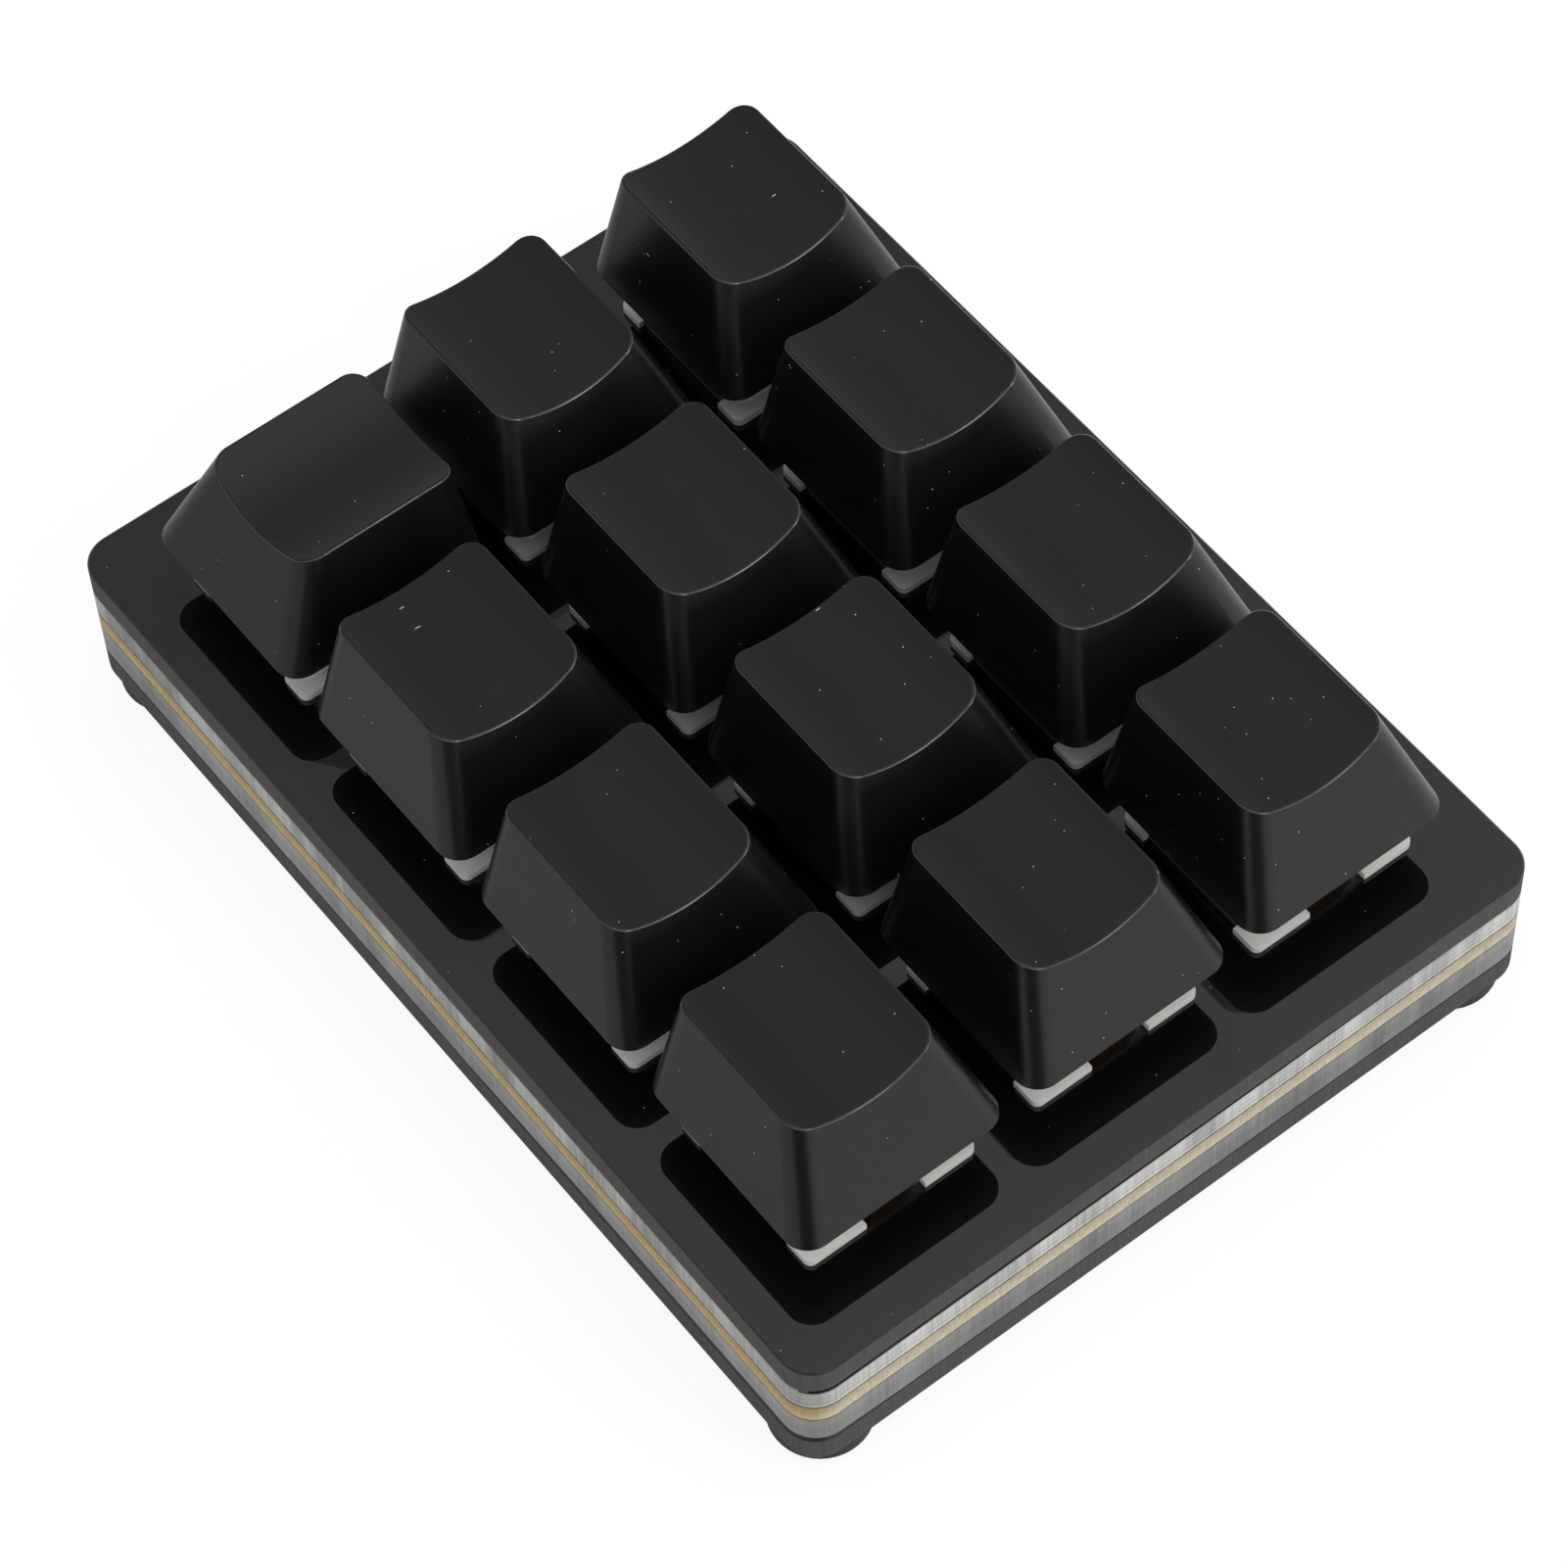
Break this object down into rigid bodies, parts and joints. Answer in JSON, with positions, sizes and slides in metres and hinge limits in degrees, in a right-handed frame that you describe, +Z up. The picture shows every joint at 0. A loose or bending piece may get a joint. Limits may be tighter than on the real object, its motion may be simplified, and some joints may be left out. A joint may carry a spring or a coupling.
{
  "type": "one-handed keypad",
  "caption": "Free-standing keypad: dished black push keys on sprung switches in a layered acrylic case with a visible circuit board edge and rubber feet.",
  "frame": {"origin": "on the desk, under the middle of the case", "axes": "+Z up out of the keys, +Y along the case to the back row, +X to the right column"},
  "size_m": [0.0632, 0.0848, 0.027],
  "materials": {
    "keycap": "satin black moulded plastic",
    "stem": "moulded plastic, brown",
    "spring": "bright spring wire",
    "housing": "milky white moulded plastic",
    "contact": "copper alloy strip",
    "black_acrylic": "polished black acrylic",
    "clear_acrylic": "clear acrylic with a cut edge",
    "board": "glass-fibre board, tan edge",
    "foot": "black rubber",
    "screw": "blackened steel",
    "insert": "turned brass",
    "inlet": "tinned steel",
    "tongue": "black moulded plastic",
    "chip": "moulded chip package",
    "crystal": "plated can"
  },
  "bodies": {
    "case": {"spring_r1c1": "spring", "spring_r1c2": "spring", "spring_r1c3": "spring", "spring_r2c1": "spring", "spring_r2c2": "spring", "spring_r2c3": "spring", "spring_r3c1": "spring", "spring_r3c2": "spring", "spring_r3c3": "spring", "spring_r4c1": "spring", "spring_r4c2": "spring", "spring_r4c3": "spring", "lower_housings_row_1": "housing", "upper_housings_row_1": "housing", "lower_housings_row_2": "housing", "upper_housings_row_2": "housing", "lower_housings_row_3": "housing", "upper_housings_row_3": "housing", "lower_housings_row_4": "housing", "upper_housings_row_4": "housing", "fixed_contacts": "contact", "moving_contacts": "contact", "top_plate": "black_acrylic", "upper_spacer": "clear_acrylic", "circuit_board": "board", "lower_spacer": "clear_acrylic", "bottom_plate": "black_acrylic", "rubber_feet": "foot", "case_screws": "screw", "threaded_inserts": "insert", "inlet_shell": "inlet", "inlet_tongue": "tongue", "microcontroller": "chip", "crystal": "crystal", "diodes": "chip"},
    "key_r1c1": {"keycap_r1c1": "keycap", "stem_r1c1": "stem"},
    "key_r1c2": {"keycap_r1c2": "keycap", "stem_r1c2": "stem"},
    "key_r1c3": {"keycap_r1c3": "keycap", "stem_r1c3": "stem"},
    "key_r2c1": {"keycap_r2c1": "keycap", "stem_r2c1": "stem"},
    "key_r2c2": {"keycap_r2c2": "keycap", "stem_r2c2": "stem"},
    "key_r2c3": {"keycap_r2c3": "keycap", "stem_r2c3": "stem"},
    "key_r3c1": {"keycap_r3c1": "keycap", "stem_r3c1": "stem"},
    "key_r3c2": {"keycap_r3c2": "keycap", "stem_r3c2": "stem"},
    "key_r3c3": {"keycap_r3c3": "keycap", "stem_r3c3": "stem"},
    "key_r4c1": {"keycap_r4c1": "keycap", "stem_r4c1": "stem"},
    "key_r4c2": {"keycap_r4c2": "keycap", "stem_r4c2": "stem"},
    "key_r4c3": {"keycap_r4c3": "keycap", "stem_r4c3": "stem"}
  },
  "joints": [
    {"name": "press_r1c1", "type": "slide", "parent": "case", "child": "key_r1c1", "axis": [0, 0, -1], "range_m": [0, 0.004], "stiffness_N_per_m": 70, "springref_m": -0.0065, "deforming": ["spring_r1c1"]},
    {"name": "press_r1c2", "type": "slide", "parent": "case", "child": "key_r1c2", "axis": [0, 0, -1], "range_m": [0, 0.004], "stiffness_N_per_m": 70, "springref_m": -0.0065, "deforming": ["spring_r1c2"]},
    {"name": "press_r1c3", "type": "slide", "parent": "case", "child": "key_r1c3", "axis": [0, 0, -1], "range_m": [0, 0.004], "stiffness_N_per_m": 70, "springref_m": -0.0065, "deforming": ["spring_r1c3"]},
    {"name": "press_r2c1", "type": "slide", "parent": "case", "child": "key_r2c1", "axis": [0, 0, -1], "range_m": [0, 0.004], "stiffness_N_per_m": 70, "springref_m": -0.0065, "deforming": ["spring_r2c1"]},
    {"name": "press_r2c2", "type": "slide", "parent": "case", "child": "key_r2c2", "axis": [0, 0, -1], "range_m": [0, 0.004], "stiffness_N_per_m": 70, "springref_m": -0.0065, "deforming": ["spring_r2c2"]},
    {"name": "press_r2c3", "type": "slide", "parent": "case", "child": "key_r2c3", "axis": [0, 0, -1], "range_m": [0, 0.004], "stiffness_N_per_m": 70, "springref_m": -0.0065, "deforming": ["spring_r2c3"]},
    {"name": "press_r3c1", "type": "slide", "parent": "case", "child": "key_r3c1", "axis": [0, 0, -1], "range_m": [0, 0.004], "stiffness_N_per_m": 70, "springref_m": -0.0065, "deforming": ["spring_r3c1"]},
    {"name": "press_r3c2", "type": "slide", "parent": "case", "child": "key_r3c2", "axis": [0, 0, -1], "range_m": [0, 0.004], "stiffness_N_per_m": 70, "springref_m": -0.0065, "deforming": ["spring_r3c2"]},
    {"name": "press_r3c3", "type": "slide", "parent": "case", "child": "key_r3c3", "axis": [0, 0, -1], "range_m": [0, 0.004], "stiffness_N_per_m": 70, "springref_m": -0.0065, "deforming": ["spring_r3c3"]},
    {"name": "press_r4c1", "type": "slide", "parent": "case", "child": "key_r4c1", "axis": [0, 0, -1], "range_m": [0, 0.004], "stiffness_N_per_m": 70, "springref_m": -0.0065, "deforming": ["spring_r4c1"]},
    {"name": "press_r4c2", "type": "slide", "parent": "case", "child": "key_r4c2", "axis": [0, 0, -1], "range_m": [0, 0.004], "stiffness_N_per_m": 70, "springref_m": -0.0065, "deforming": ["spring_r4c2"]},
    {"name": "press_r4c3", "type": "slide", "parent": "case", "child": "key_r4c3", "axis": [0, 0, -1], "range_m": [0, 0.004], "stiffness_N_per_m": 70, "springref_m": -0.0065, "deforming": ["spring_r4c3"]}
  ]
}
